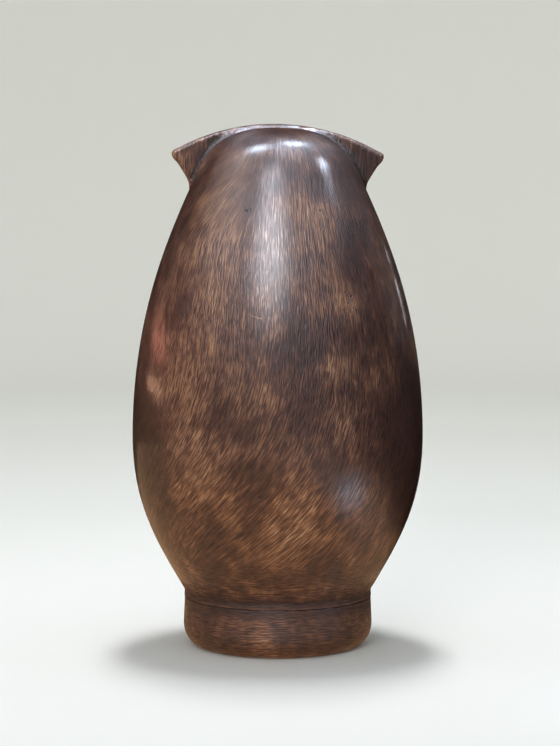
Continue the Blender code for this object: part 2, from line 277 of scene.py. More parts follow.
def rim_share(x, z):
    """0 outside the facial disc, 1 within it."""
    across = np.abs(x) / (DISC_HALF_W - RIM_WIDTH)
    below = (DISC_Z - z) / (DISC_HALF_H - RIM_WIDTH)
    inside = 1 - np.hypot(across, np.clip(below, 0, None))
    return step(inside * 30, -0.6, 0.9) * step(brow_z(np.clip(x, -50, 50)) - BROW_WIDTH - z, -0.6, 0.9)


points = points_of(body)
x, y, z = points.T
face = face_y(x, z)
for word, side in SIDES:
    centre = Vector((side * EYE_X, EYE_Y, EYE_Z)) + eye_axis(side) * DISH_R
    reach = DISH_R**2 - (x - centre.x) ** 2 - (z - centre.z) ** 2
    dish = centre.y + np.sqrt(np.clip(reach, 0, None))
    blend = step(dish - face, -0.7, 0.7)
    face = np.where(reach > 0, face + (dish - face) * blend, face)
ridge_z = RIDGE_Z + RIDGE_RISE * (1 - np.exp(-np.abs(x) / RIDGE_RUN)) + 0.06 * np.abs(x)
face -= RIDGE_PROUD * hill(z - ridge_z, 2.0) * step(40 - np.abs(x), 0, 12)
share = rim_share(x, z) * (y < -12) * (z > 140)
points[:, 1] = y + share * (np.maximum(face, y) - y)
lifted = share * (face < y) * (y - face < 12)
points[:, 1] += lifted * (face - points[:, 1])
put_points(body, points)

# The beak, a hooked wedge, and three toes to each foot.
BEAK_HALF_W, BEAK_HALF_D, BEAK_HALF_H = 5.2, 7.0, 11.5
BEAK_Y, BEAK_Z, BEAK_TAPER, BEAK_CURL = -32.5, 175.5, 0.75, 2.5
TOE_ANGLES = (11.0, 23.0, 35.0)
TOE_REACH, TOE_Z = 38.0, 24.6
TOE_HALF_L, TOE_HALF_W, TOE_HALF_H = 9.0, 3.4, 3.7
CLAW_START, CLAW_TAPER, CLAW_DROP = 0.35, 0.45, 6.5


def ball(segments=40, rings=28):
    start_fresh()
    bpy.ops.mesh.primitive_uv_sphere_add(segments=segments, ring_count=rings, radius=MM)
    return bpy.context.object


beak = ball()
x, y, z = points_of(beak).T
down = (1 - z) / 2
width = 1 - BEAK_TAPER * down**1.6
curl = BEAK_CURL * np.sin(math.pi * down)
keel = 1 - 0.25 * np.abs(x)
points = np.column_stack(
    [
        x * BEAK_HALF_W * width,
        BEAK_Y + y * BEAK_HALF_D * width * keel - curl,
        BEAK_Z + z * BEAK_HALF_H,
    ]
)
put_points(beak, points)

toes = []
for side in (1, -1):
    for angle in TOE_ANGLES:
        toe = ball()
        x, y, z = points_of(toe).T
        x, y, z = x, z, y
        reach = np.clip((-y - CLAW_START) / (1 - CLAW_START), 0, 1)
        narrow = 1 - CLAW_TAPER * reach**2 - 0.10 * hill(reach - 0.30, 0.08) - 0.06 * hill(y + 0.05, 0.07)
        points = np.column_stack(
            [
                x * TOE_HALF_W * narrow,
                y * TOE_HALF_L - TOE_REACH,
                z * TOE_HALF_H * narrow - CLAW_DROP * reach**3 + TOE_Z,
            ]
        )
        turn = np.array(Matrix.Rotation(math.radians(side * angle), 3, "Z"))
        put_points(toe, points @ turn.T)
        toe.data.flip_normals()
        toes.append(toe)
join(body, beak, *toes)
fuse(body, VOXEL)

# The smooth back and sides are brought exactly to the egg's outline, so that the polish stays even.
points = points_of(body)
x, y, z = points.T
depth = depth_at(points)
radial = np.hypot(x, y / depth)
ends = np.vstack([profile[1:] - profile[:-1], profile[-1:] - profile[-2:-1]])
on_side = profile[:, 0] > 0.2
line, along = profile[on_side], ends[on_side]
along = along / np.linalg.norm(along, axis=1)[:, None]
spots = np.column_stack([radial, z])
away = np.empty(len(spots))
facing = np.empty((len(spots), 2))
for start in range(0, len(spots), 4000):
    part = spots[start : start + 4000]
    nearest = ((part[:, None, :] - line[None]) ** 2).sum(2).argmin(1)
    out = np.column_stack([along[nearest, 1], -along[nearest, 0]])
    facing[start : start + 4000] = out
    away[start : start + 4000] = ((part - line[nearest]) * out).sum(1)
smooth = step(0.6 - np.abs(away), 0, 0.25) * (z > NECK_Z - 1)
moved = spots - facing * (away * smooth)[:, None]
scale = moved[:, 0] / np.maximum(radial, 1e-6)
points[:, 0] *= scale
points[:, 1] *= scale
points[:, 2] = moved[:, 1]
put_points(body, points)

# Wings and breast: the smooth back wraps forward like a cloak, and the breast between its edges is cut back
# and laid with feather scallops. Angles are in degrees round from the front.
BREAST_FEATHER, WING_FEATHER = (10.0, 8.5, 1.1), (9.5, 8.0, 0.9)
QUILL_SPACING, QUILL_CUT = 5.2, 0.65
COVERTS_Z = 113.0

x, y, z = points.T
turned_by = np.degrees(np.arctan2(x, -y))
girth = np.interp(z, profile[60:, 1], profile[60:, 0])
wing_edge = 15 + 37 * step(z, 30, 105) - 12 * step(z, 118, 160)
from_edge = (np.abs(turned_by) - wing_edge) * math.pi / 180 * girth
front = (np.abs(turned_by) < 90) * (z > 27) * step(-y, 4, 10)
under_face = step(np.hypot(x / DISC_HALF_W, np.clip((z - DISC_Z) / DISC_HALF_H, None, 0)), 1.02, 1.06)
under_face = under_face * step(172 - z, 0, 6)
arc = turned_by * math.pi / 180 * girth


def scallops(across, up, wide, tall, depth):
    """How far feathers laid in staggered rows are cut in: each is proud at its rounded tip."""
    cut = np.full(len(across), depth)
    free = np.ones(len(across), bool)
    for shift in (1, 0):
        row = np.floor(up / tall) + shift
        place = across / wide + 0.5 * (row % 2)
        place = place - np.floor(place) - 0.5
        tip = row * tall - 0.85 * tall * np.sqrt(np.clip(1 - (2 * place) ** 2, 0, 1))
        run = (up - tip) / (1.85 * tall)
        here = free & (run >= 0)
        quill = 0.35 * depth * hill(place * wide, 0.6) * (run > 0.05) * (run < 0.5)
        cut = np.where(here, depth * np.clip(run * 1.5, 0, 1) + quill, cut)
        free &= ~here
    return cut


breast = step(-from_edge, 0.0, 1.7) * front * under_face
cut = breast * (0.5 + 1.1 * hill(from_edge, 9.0) + scallops(arc, z, *BREAST_FEATHER))
wing = step(from_edge, 1.4, 2.4) * front * under_face * step(80 - np.abs(turned_by), 0, 6)
coverts = wing * step(z, COVERTS_Z - 1, COVERTS_Z + 1)
quills = wing * step(COVERTS_Z + 1 - z, 0, 2)
cut += coverts * scallops(from_edge + 4, z, *WING_FEATHER)
line_place = from_edge / QUILL_SPACING - np.floor(from_edge / QUILL_SPACING)
cut += quills * step(z, 36, 50) * (QUILL_CUT * line_place**1.5 + 0.15 * hill(line_place - 0.5, 0.05))
points = points - normals_of(body) * cut[:, None]

# Fine cuts round the eyes, and plumes along the lower rim of the face.
EYE_RAYS, RIM_PLUMES = 34, 46
x, y, z = points.T
within = rim_share(x, z) * (y < -18) * (z > 142)
for word, side in SIDES:
    across, up = x - side * EYE_X, z - EYE_Z
    ring = np.hypot(across, up)
    rays = 0.5 + 0.5 * np.cos(EYE_RAYS * np.arctan2(up, across))
    outer = step(ring, EYE_R + 0.8, EYE_R + 2.5) * step(27 - ring, 0, 6) * (np.sign(x) == side)
    points[:, 1] += within * outer * 0.5 * rays**2
    points[:, 1] += within * 0.4 * hill(ring - 16.5, 0.7)
ruff = np.hypot(x / DISC_HALF_W, (z - DISC_Z) / DISC_HALF_H)
ruff = step(ruff, 0.84, 0.93) * step(1.08 - ruff, 0, 0.06) * step(190 - z, 0, 6) * (y < -12)
plumes = 0.5 + 0.5 * np.cos(RIM_PLUMES * np.arctan2(x, DISC_Z - z))
points[:, 1] += ruff * (0.35 + 1.0 * plumes**2)

# A second fine crease behind the left ear tuft.
behind = (y > -9) & (y < -4) & (x > 24)
crease = np.abs((x - 25.6) * 14.0 + (z - 204.0) * 8.3) / math.hypot(14.0, 8.3)
points[:, 1] -= behind * 0.6 * hill(crease, 0.9) * (z > 188)
put_points(body, points)

# Slight waves of the scraper over the whole block.
SCRAPER_DEPTH = 0.05
x, y, z = points.T
wave = np.sin(x / 7.1 + z / 23.0) + np.sin(z / 11.3 - x / 17.0 + 1.3) + np.sin(y / 9.0 + z / 15.7 + 0.4)
shaved = SCRAPER_DEPTH * (wave + 3) / 2 * step(z, NECK_Z + 1, NECK_Z + 4)
points = points - normals_of(body) * shaved[:, None]
put_points(body, points)


def hollow(piece, cutter):
    """Cuts the shape of cutter out of piece."""
    start_fresh()
    bpy.context.view_layer.objects.active = piece
    cut = piece.modifiers.new("drilled", "BOOLEAN")
    cut.operation = "DIFFERENCE"
    cut.solver = "MANIFOLD"
    cut.object = cutter
    bpy.ops.object.modifier_apply(modifier=cut.name)
    bpy.data.objects.remove(cutter)


def straight(points):
    """Knots of a turned shape with straight sides."""
    knots = []
    for i, point in enumerate(points):
        before = Vector(points[i - 1]) - Vector(point) if i else Vector((0, 0))
        after = Vector(points[i + 1]) - Vector(point) if i + 1 < len(points) else Vector((0, 0))
        knots.append((point, before / 3, after / 3))
    return knots


# The spare wood under the neck is sawn off, and the holes for dowel, screws and eyes are drilled.
SOCKET_DEPTH, SOCKET_REACH, PUPIL_R, PUPIL_LENGTH = 3.0, 12.0, 4.2, 9.0
DOWEL_R, DOWEL_TOP_Z = 8.0, 43.7
SCREW_X, SCREW_R, SCREW_TIP_Z = 21.0, 2.2, 38.0


def eye_place(side):
    """Where an eye sits, its axis pointing out of the face."""
    turn = eye_axis(side).to_track_quat("Z", "Y").to_matrix().to_4x4()
    return Matrix.Translation(Vector((side * EYE_X, EYE_Y, EYE_Z)) * MM) @ turn


def hole(radius, bottom, top, x=0.0):
    """A drill's worth of wood, upright."""
    cutter = spin(outline(straight([(0, bottom), (radius, bottom), (radius, top), (0, top)]), 1), 48)
    cutter.data.transform(Matrix.Translation((x * MM, 0, 0)))
    return cutter


hollow(body, hole(LIP_R + 0.6, NECK_Z - 12, NECK_Z))
hollow(body, hole(DOWEL_R + GAP, NECK_Z - 5, DOWEL_TOP_Z + GAP))
for word, side in SIDES:
    hollow(body, hole(SCREW_R + GAP, NECK_Z - 5, SCREW_TIP_Z + GAP, side * SCREW_X))
    for radius, floor_z in ((EYE_R + GAP, -SOCKET_DEPTH), (PUPIL_R + GAP, -PUPIL_LENGTH - GAP)):
        socket = hole(radius, floor_z, SOCKET_REACH)
        socket.data.transform(eye_place(side))
        hollow(body, socket)
smooth_within(body, 50)
body.name = "carved_body"
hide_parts("body")
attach(body, "root")

# The streaks of the grain run up the egg and fan out from the crown. Low down they lean over, most of all
# on the left of the back. Some patches of the back are rubbed light and others have kept more stain, and
# two long dark patches low on either side are painted shade along the figure's edges.
STREAK_R = 58.0
SWIRL, SWIRL_TOP, FAN, FAN_FROM = 0.0085, 125, 0.0006, 160
RUBBED_AND_PAINTED_LIGHT = (
    # across, up, half width, half height, how light
    (-19, 175, 10, 5, 0.6),
    (-25.5, 142, 9, 7, 0.6),
    (26, 142, 7, 8, 0.6),
    (-3, 55, 14, 12, 1.0),
    (20, 168, 6, 14, 0.5),
    (-20, 116, 8, 5, 0.5),
    (28, 68, 12, 8, 0.5),
    (38, 40, 9, 12, 0.4),
    (-42, 45, 8, 10, 0.4),
    (-1, 126, 14, 9, -0.25),
    (-35, 150, 8, 20, -0.3),
    (20, 130, 14, 16, 0.25),
    (-4, 108, 20, 14, 0.2),
    (38, 112, 12, 24, 0.25),
    (39, 196, 8, 6, 0.6),
    # These two rows are painted shade: long dark patches low on either side of the body, along its edges.
    (-52, 84, 10, 22, -1.3),
    (54, 82, 7, 18, -1.0),
    (-39, 196, 8, 6, -0.7),
)


def mark(piece, word, values, kind="FLOAT"):
    """Writes one value or vector for each point of the piece, for its finish to read."""
    field = piece.data.attributes.new(word, kind, "POINT")
    part = "vector" if kind == "FLOAT_VECTOR" else "value"
    field.data.foreach_set(part, values.astype(np.float32).ravel())


def relief_of(piece, rounds, reach):
    """How far each point stands proud (above 0) or lies in a groove (below 0), from -1 to 1."""
    mesh = piece.data
    ends = np.empty(len(mesh.edges) * 2, np.int32)
    mesh.edges.foreach_get("vertices", ends)
    first, last = ends.reshape(-1, 2).T
    size = len(mesh.vertices)
    count = np.maximum(np.bincount(first, minlength=size) + np.bincount(last, minlength=size), 1)

    def spread(values):
        near = np.bincount(first, values[last], size) + np.bincount(last, values[first], size)
        return near / count

    smooth = points_of(piece)
    start = smooth.copy()
    for _ in range(rounds):
        smooth = np.column_stack([0.5 * smooth[:, k] + 0.5 * spread(smooth[:, k]) for k in range(3)])
    proud = ((start - smooth) * normals_of(piece)).sum(1)
    return np.clip(spread(proud) / reach, -1, 1)


points = points_of(body)
x, y, z = points.T
bearing = np.arctan2(-x, y)
swirl = SWIRL * np.clip(SWIRL_TOP - z, 0, None) ** 2 * (0.62 - 0.38 * np.sin(bearing - 0.2))
fan = FAN * np.clip(z - FAN_FROM, 0, None) ** 2 * step(-bearing, 0, 0.7)
around = bearing + swirl / STREAK_R - fan
streaks = np.column_stack([STREAK_R * np.sin(around), STREAK_R * np.cos(around), z])
on_tufts = (np.abs(y - SLAB_BACK_Y) < 1.5) & (z > 160)
streaks[on_tufts] = points[on_tufts]
mark(body, "streaks", streaks * MM, "FLOAT_VECTOR")
rubbed = np.zeros(len(x))
for across, up, wide, tall, light in RUBBED_AND_PAINTED_LIGHT:
    rubbed += light * hill(np.hypot((x - across) / wide, (z - up) / tall), 1.0) * step(y, -30, -2)
rubbed -= 1.2 * hill(z - NECK_Z, 2.5)
mark(body, "rubbed", rubbed)
mark(body, "relief", relief_of(body, 6, 0.35))
mark(body, "level", step(z, 46, 26))
mark(body, "crown", step(np.hypot(x, y), 16, 8) * (z > 150))


class Wire:
    """An output of a shader node. Sums of wires add Math nodes, and node() adds any other kind."""

    def __init__(self, tree, output=None):
        self.tree = tree
        self.output = output

    def node(self, kind, settings, sockets, output=0):
        made = self.tree.nodes.new(kind)
        for word, value in settings.items():
            if word == "stops":
                stops = made.color_ramp.elements
                for stop, (place, colour) in zip([stops[0], stops[1]], value):
                    stop.position = place
                    stop.color = (*colour, 1)
                for place, colour in value[2:]:
                    stops.new(place).color = (*colour, 1)
            else:
                setattr(made, word, value)
        for socket, value in sockets.items():
            if isinstance(value, Wire):
                self.tree.links.new(value.output, made.inputs[socket])
            else:
                made.inputs[socket].default_value = value
        return Wire(self.tree, made.outputs[output] if made.outputs else None)

    def maths(self, operation, *others):
        return self.node("ShaderNodeMath", {"operation": operation}, dict(enumerate((self, *others))))

    def __add__(self, other):
        return self.maths("ADD", other)

    def __sub__(self, other):
        return self.maths("SUBTRACT", other)

    def __rsub__(self, other):
        return self.node("ShaderNodeMath", {"operation": "SUBTRACT"}, {0: other, 1: self})

    def __mul__(self, other):
        return self.maths("MULTIPLY", other)

    __radd__ = __add__
    __rmul__ = __mul__

    def scaled(self, *factors):
        return self.node("ShaderNodeVectorMath", {"operation": "MULTIPLY"}, {0: self, 1: factors})

    def noise(self, detail=2.0, roughness=0.5):
        """Noise about one unit across, from -1 to 1."""
        sockets = {"Vector": self, "Scale": 1.0, "Detail": detail, "Roughness": roughness}
        return self.node("ShaderNodeTexNoise", {}, sockets) * 2 - 1

    def ease(self, low, high):
        ends = {"Value": self, "From Min": low, "From Max": high}
        return self.node("ShaderNodeMapRange", {"interpolation_type": "SMOOTHSTEP"}, ends)

    def mix(self, other, share):
        """This value, turning into the other as share goes from 0 to 1."""
        return self * (1 - share) + other * share

    def ramp(self, *stops):
        return self.node("ShaderNodeValToRGB", {"stops": stops}, {"Fac": self})

    def surface(self, sockets):
        """Ends the finish with a Principled shader."""
        shader = self.node("ShaderNodeBsdfPrincipled", {}, sockets)
        self.node("ShaderNodeOutputMaterial", {}, {"Surface": shader})

    def shade(self, colour, share):
        """This colour, turning into another."""
        return self.node("ShaderNodeMix", {"data_type": "RGBA"}, {"Factor": share, 6: self, 7: colour}, 2)


def new_finish(name):
    """An empty finish, and the wire that its nodes hang on."""
    finish = bpy.data.materials.new(name)
    finish.use_nodes = True
    finish.node_tree.nodes.clear()
    return finish, Wire(finish.node_tree)


def coat_on(piece, finish):
    piece.data.materials.clear()
    piece.data.materials.append(finish)


PITS = (
    # across, up, radius
    (12.1, 175.2, 0.9),
    (10.6, 176.0, 0.5),
    (-16.5, 175.6, 0.6),
    (-24.9, 175.3, 0.5),
    (-23.3, 171.8, 0.5),
    (-26.0, 144.3, 0.5),
    (-28.2, 142.6, 0.6),
    (-27.0, 140.0, 0.5),
    (-29.2, 138.4, 0.5),
    (-25.4, 137.6, 0.4),
    (6.7, 66.5, 0.9),
    (-22.9, 41.0, 0.6),
)
SCRATCH_MIDDLE, SCRATCH_R, SCRATCH_ENDS = (3.7, 149.3), 14.9, (5.6, 13.4)
DARK, PALE = (0.022, 0.010, 0.009), (0.52, 0.33, 0.19)
COOL_BROWN, COOL_TAN = (0.092, 0.039, 0.028), (0.26, 0.132, 0.074)
WARM_BROWN, WARM_TAN = (0.084, 0.031, 0.016), (0.230, 0.096, 0.042)


def stained_wood(name, wax, dullness):
    """Dark stained and waxed hardwood: hair-fine streaks, rubbed patches, dark grooves and worn edges; some
    patches are painted shade and one is a painted highlight.
    """
    finish, wire = new_finish(name)
    place = wire.node("ShaderNodeTexCoord", {}, {}, "Object")

    def read(word, output="Fac"):
        return wire.node("ShaderNodeAttribute", {"attribute_name": word}, {}, output)

    streaks, rubbed, relief = read("streaks", "Vector"), read("rubbed"), read("relief")
    level, crown = read("level"), read("crown")
    upper = streaks.node("ShaderNodeSeparateXYZ", {}, {0: streaks}, "Z").ease(0.135, 0.165)
    low_hairs = streaks.scaled(2100, 2100, 250).noise(2)
    high_hairs = streaks.scaled(1750, 1750, 190).noise(2)
    flat_hairs = place.scaled(260, 260, 2700).noise(2)
    end_grain = place.scaled(1200, 1200, 1200).noise(2)
    hairs = low_hairs.mix(high_hairs, upper).mix(flat_hairs, level).mix(end_grain, crown)
    fine = hairs.ease(-0.36, 0.40) * 2 - 1
    bands = streaks.scaled(560, 560, 70).noise(2).mix(place.scaled(110, 110, 800).noise(2), level)
    clouds = place.scaled(55, 55, 40).noise(4, 0.62)
    blots = place.scaled(190, 190, 110).noise(2)
    # The rubbed patches also carry painted shade down the body's sides and a painted highlight on the foot.
    patch = (0.38 + 1.0 * clouds + 0.45 * blots + 0.9 * rubbed).ease(-0.1, 1.1)
    tone = 0.09 + 0.42 * patch + fine * (0.12 + 0.15 * patch) + bands * (0.09 + 0.17 * patch)
    worn = relief.ease(0.15, 0.9)
    tone = tone + 0.20 * worn - 0.35 * (0 - relief).ease(0.1, 0.9)
    height_up = place.node("ShaderNodeSeparateXYZ", {}, {0: place}, "Z")
    fold = height_up.ease(0.0200, 0.0205) * height_up.ease(0.030, 0.025)
    seen = place.scaled(1000, 0, 1000)

    def distance_to(across, up):
        ends = {0: seen, 1: (across, 0, up)}
        return seen.node("ShaderNodeVectorMath", {"operation": "DISTANCE"}, ends, "Value")

    behind = place.node("ShaderNodeSeparateXYZ", {}, {0: place}, "Y").ease(0.0, 0.004)
    pits = 0
    for across, up, radius in PITS:
        pits = distance_to(across, up).ease(radius, 0.4 * radius) + pits
    pits = pits * behind
    across = seen.node("ShaderNodeSeparateXYZ", {}, {0: seen}, "X")
    scratch = (distance_to(*SCRATCH_MIDDLE) - SCRATCH_R).maths("ABSOLUTE").ease(0.3, 0.1) * behind
    scratch = scratch * across.ease(SCRATCH_ENDS[0], SCRATCH_ENDS[0] + 1) * across.ease(*SCRATCH_ENDS[::-1])
    scratch = scratch * height_up.ease(0.139, 0.137)
    tone = tone - 0.6 * pits + 0.55 * scratch
    warmth = (height_up * 1000 + 14 * clouds).ease(98, 62)
    cool = tone.ramp((0.0, DARK), (1.0, PALE), (0.30, COOL_BROWN), (0.60, COOL_TAN))
    warm = tone.ramp((0.0, DARK), (1.0, PALE), (0.30, WARM_BROWN), (0.60, WARM_TAN))
    colour = cool.shade(warm, warmth)
    height = fine + 0.5 * bands - 4 * pits - 2 * scratch
    bump = wire.node("ShaderNodeBump", {}, {"Strength": 0.6, "Distance": 0.00012, "Height": height})
    sockets = {
        "Base Color": colour,
        "Roughness": dullness - 0.05 * fine + 0.25 * worn + 0.2 * fold,
        "IOR": 1.45,
        "Coat Weight": wax * (1 + 0.5 * fine) * (1 - 0.85 * worn) * (1 - fold),
        "Coat Roughness": 0.13,
        "Normal": bump,
    }
    wire.surface(sockets)
    return finish


coat_on(body, stained_wood("waxed_wood", 0.5, 0.34))


# ---- Plinth ----
# The foot is turned from the same wood: waisted under the joint, rounded under to a narrower base and
# worn along that edge. It is recessed beneath for the felt and drilled for a dowel and two screws.

FOOT_TOP_R, FOOT_WIDE_R, FOOT_WIDE_Z, FOOT_BASE_R = 37.8, 38.2, 9.0, 32.0
FOOT_TOP_Z, FOOT_BASE_Z = NECK_Z - GAP, 0.3
FELT_R, FELT_T = 29.0, 1.5
DOWEL_BOTTOM_Z = 6.3
HEAD_R, HEAD_H, HEAD_Z = 4.4, 2.6, 2.2

curve = 0.5523
under_w, under_h = FOOT_WIDE_R - FOOT_BASE_R, FOOT_WIDE_Z - FOOT_BASE_Z
recess = straight([(0, FELT_T + GAP), (FELT_R + GAP, FELT_T + GAP), (FELT_R + GAP, FOOT_BASE_Z)])
foot_knots = recess + [
    ((FOOT_BASE_R, FOOT_BASE_Z), (-0.5, 0), (under_w * curve, 0)),
    ((FOOT_WIDE_R, FOOT_WIDE_Z), (0, -under_h * curve), (0, 3.0)),
    ((FOOT_TOP_R, FOOT_TOP_Z - 0.2), (0, -3.0), (0, 0.1)),
    ((FOOT_TOP_R - 0.2, FOOT_TOP_Z), (0.1, 0), (-1, 0)),
    ((0, FOOT_TOP_Z), (1, 0), (0, 0)),
]
plinth = spin(outline(foot_knots, 16), 180)
hollow(plinth, hole(DOWEL_R + GAP, DOWEL_BOTTOM_Z - GAP, FOOT_TOP_Z + 5))
for word, side in SIDES:
    hollow(plinth, hole(HEAD_R + GAP, -5, HEAD_Z + HEAD_H + GAP, side * SCREW_X))
    hollow(plinth, hole(SCREW_R + GAP, 1, FOOT_TOP_Z + 5, side * SCREW_X))
smooth_within(plinth, 40)
points = points_of(plinth)
x, y, z = points.T
mark(plinth, "streaks", points * MM, "FLOAT_VECTOR")
# A light patch low on the back of the foot is a painted highlight; the band at its top is darker towards
# the joint.
rubbed = 1.1 * hill(np.hypot((x - 5) / 5, (z - 8) / 7), 1.0) * (y > 0) - 0.6 * step(z, 15, 19)
mark(plinth, "rubbed", rubbed)
worn = hill(z - 1.2, 1.4) * (np.hypot(x, y) > FOOT_BASE_R - 0.5)
bearing = np.arctan2(y, x)
mark(plinth, "relief", worn * (0.5 + 0.5 * np.sin(17 * bearing) * np.sin(5 * bearing + 1)))
mark(plinth, "level", np.ones(len(x)))
mark(plinth, "crown", np.zeros(len(x)))
plinth.name = "turned_plinth"
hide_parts("plinth")
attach(plinth, "root")
coat_on(plinth, stained_wood("handled_wood", 0.15, 0.50))


# ---- Eyes ----
# Each eye is a low dome of pale boxwood, turned with two fine rings and glued into a drilled socket, with
# a peg of black ebony through its middle for the pupil. Both are polished.

EYE_RIM, EYE_DOME, PUPIL_DOME = 0.9, 2.6, 1.3
EASED, DOME_STEPS = 0.3, 44
# radius, depth, width
RINGS = ((8.7, 0.22, 0.22), (5.6, 0.18, 0.20))


def glossy_wood(name, light, dark, across, along, dullness):
    """Polished close-grained wood: fine growth lines across the piece and small flecks along it."""
    finish, wire = new_finish(name)
    place = wire.node("ShaderNodeTexCoord", {}, {}, "Object")
    lines = place.scaled(across, across, along).noise(2)
    flecks = place.scaled(3 * across, 3 * across, 6 * along).noise(1)
    share = (0.5 + 0.55 * lines + 0.25 * flecks).ease(0.15, 0.9)
    colour = share.ramp((0.0, light), (1.0, dark))
    bump = wire.node("ShaderNodeBump", {}, {"Strength": 0.2, "Distance": 0.00005, "Height": lines + flecks})
    sockets = {
        "Base Color": colour,
        "Roughness": dullness + 0.08 * flecks,
        "Coat Weight": 0.6,
        "Coat Roughness": 0.08,
        "Normal": bump,
    }
    wire.surface(sockets)
    return finish


def finish_piece(piece, name, node, finish):
    """Names a piece, hides the drawn part it stands for, hangs it on the root and gives it its finish."""
    smooth_within(piece, 40)
    piece.name = name
    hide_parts(node)
    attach(piece, "root")
    coat_on(piece, finish)


boxwood = glossy_wood("boxwood", (0.66, 0.43, 0.17), (0.40, 0.22, 0.07), 420, 90, 0.34)
ebony = glossy_wood("ebony", (0.006, 0.005, 0.005), (0.022, 0.014, 0.010), 700, 120, 0.18)

inner = PUPIL_R + GAP
seat = GAP - SOCKET_DEPTH
disc_points = [(inner, seat), (EYE_R - EASED, seat), (EYE_R, seat + EASED), (EYE_R, EYE_RIM - EASED)]
for i in range(DOME_STEPS + 1):
    share = i / DOME_STEPS
    radius = EYE_R - 0.2 + (inner + 0.2 - EYE_R) * share
    rings = sum(depth * hill(radius - ring, width) for ring, depth, width in RINGS)
    disc_points.append((radius, EYE_RIM + (EYE_DOME - EYE_RIM) * math.sin(math.pi / 2 * share) - rings))
disc_points.append(disc_points[0])
pupil_points = [(0, -PUPIL_LENGTH), (PUPIL_R - 0.8, -PUPIL_LENGTH), (PUPIL_R, 0.8 - PUPIL_LENGTH)]
pupil_knots = straight(pupil_points) + [
    ((PUPIL_R, EYE_DOME), (0, -1), (0, PUPIL_DOME * 0.55)),
    ((0, EYE_DOME + PUPIL_DOME), (PUPIL_R * 0.55, 0), (0, 0)),
]
for word, side in SIDES:
    disc = spin(outline(straight(disc_points), 1), 96)
    disc.data.transform(eye_place(side))
    finish_piece(disc, f"{word}_boxwood_disc", f"{word}_eye_disc", boxwood)
    pupil = spin(outline(pupil_knots, 12), 72)
    pupil.data.transform(eye_place(side))
    finish_piece(pupil, f"{word}_ebony_pupil", f"{word}_eye_pupil", ebony)


# ---- Dowel, screws and felt ----
# A fluted beech dowel, glued, centres the body on its foot, and two slotted steel screws driven up through
# the foot hold it. A disc of dark green felt is glued over the screw heads.

beech, wire = new_finish("beech")
place = wire.node("ShaderNodeTexCoord", {}, {}, "Object")
rays = place.scaled(900, 900, 140).noise(2)
years = place.scaled(260, 260, 12).noise(1)
colour = (0.5 + 0.4 * rays + 0.4 * years).ramp((0.0, (0.62, 0.44, 0.28)), (1.0, (0.42, 0.26, 0.15)))
bump = wire.node("ShaderNodeBump", {}, {"Strength": 0.3, "Distance": 0.0001, "Height": rays})
sockets = {"Base Color": colour, "Roughness": 0.66 + 0.08 * rays, "Normal": bump}
wire.surface(sockets)

DOWEL_CHAMFER, FLUTES, FLUTE_DEPTH = 1.2, 20, 0.45
dowel_points = [(0, DOWEL_BOTTOM_Z), (DOWEL_R - DOWEL_CHAMFER, DOWEL_BOTTOM_Z)]
dowel_points += [(DOWEL_R, DOWEL_BOTTOM_Z + DOWEL_CHAMFER), (DOWEL_R, DOWEL_TOP_Z - DOWEL_CHAMFER)]
dowel_points += [(DOWEL_R - DOWEL_CHAMFER, DOWEL_TOP_Z), (0, DOWEL_TOP_Z)]
dowel = spin(outline(straight(dowel_points), 6), 8 * FLUTES)
points = points_of(dowel)
x, y, z = points.T
flute = 0.5 + 0.5 * np.cos(FLUTES * np.arctan2(y, x))
shrink = 1 - FLUTE_DEPTH / DOWEL_R * flute**2 * (np.hypot(x, y) > DOWEL_R - 0.1)
put_points(dowel, np.column_stack([x * shrink, y * shrink, z]))
finish_piece(dowel, "fluted_dowel", "centre_dowel", beech)

steel, wire = new_finish("bright_steel")
place = wire.node("ShaderNodeTexCoord", {}, {}, "Object")
turning = place.scaled(200, 200, 9000).noise(1)
spots = place.scaled(500, 500, 500).noise(3)
colour = (0.5 + 0.5 * spots).ramp((0.0, (0.66, 0.64, 0.60)), (1.0, (0.44, 0.42, 0.39)))
bump = wire.node("ShaderNodeBump", {}, {"Strength": 0.2, "Distance": 0.00003, "Height": turning})
sockets = {"Base Color": colour, "Metallic": 1.0, "Roughness": 0.32 + 0.10 * spots, "Normal": bump}
wire.surface(sockets)

THREAD_START_Z, THREAD_PITCH, CORE_R, POINT = 14.0, 2.0, 1.5, 4.0
SLOT_W, SLOT_D = 1.0, 1.1
THREAD_STEPS = 110
for word, side in SIDES:
    screw_points = [(0, HEAD_Z), (HEAD_R - 0.2, HEAD_Z), (HEAD_R, HEAD_Z + 0.2)]
    screw_points += [(SCREW_R, HEAD_Z + HEAD_H), (SCREW_R, THREAD_START_Z)]
    threaded = SCREW_TIP_Z - THREAD_START_Z - 0.2
    for i in range(1, THREAD_STEPS + 1):
        screw_points.append((SCREW_R, THREAD_START_Z + threaded * i / THREAD_STEPS))
    screw_points.append((0, SCREW_TIP_Z))
    screw = spin(outline(straight(screw_points), 1), 40)
    points = points_of(screw)
    x, y, z = points.T
    climb = z / THREAD_PITCH - np.arctan2(y, x) / math.tau
    crest = 1 - 2 * np.abs(climb - np.floor(climb) - 0.5)
    started = step(z, THREAD_START_Z - 0.5, THREAD_START_Z + 2)
    thread = 1 - (1 - (CORE_R + (SCREW_R - CORE_R) * crest**2) / SCREW_R) * started
    shrink = thread * (1 - 0.93 * np.clip((z - SCREW_TIP_Z + POINT) / POINT, 0, 1))
    put_points(screw, np.column_stack([x * shrink + side * SCREW_X, y * shrink, z]))
    start_fresh()
    bpy.ops.mesh.primitive_cube_add(size=MM)
    slot = bpy.context.object
    slot.data.transform(Matrix.Diagonal((3 * HEAD_R, SLOT_W, 2 * SLOT_D, 1)))
    slot.data.transform(Matrix.Translation((side * SCREW_X * MM, 0, HEAD_Z * MM)))
    hollow(screw, slot)
    finish_piece(screw, f"{word}_slotted_screw", f"{word}_plinth_screw", steel)

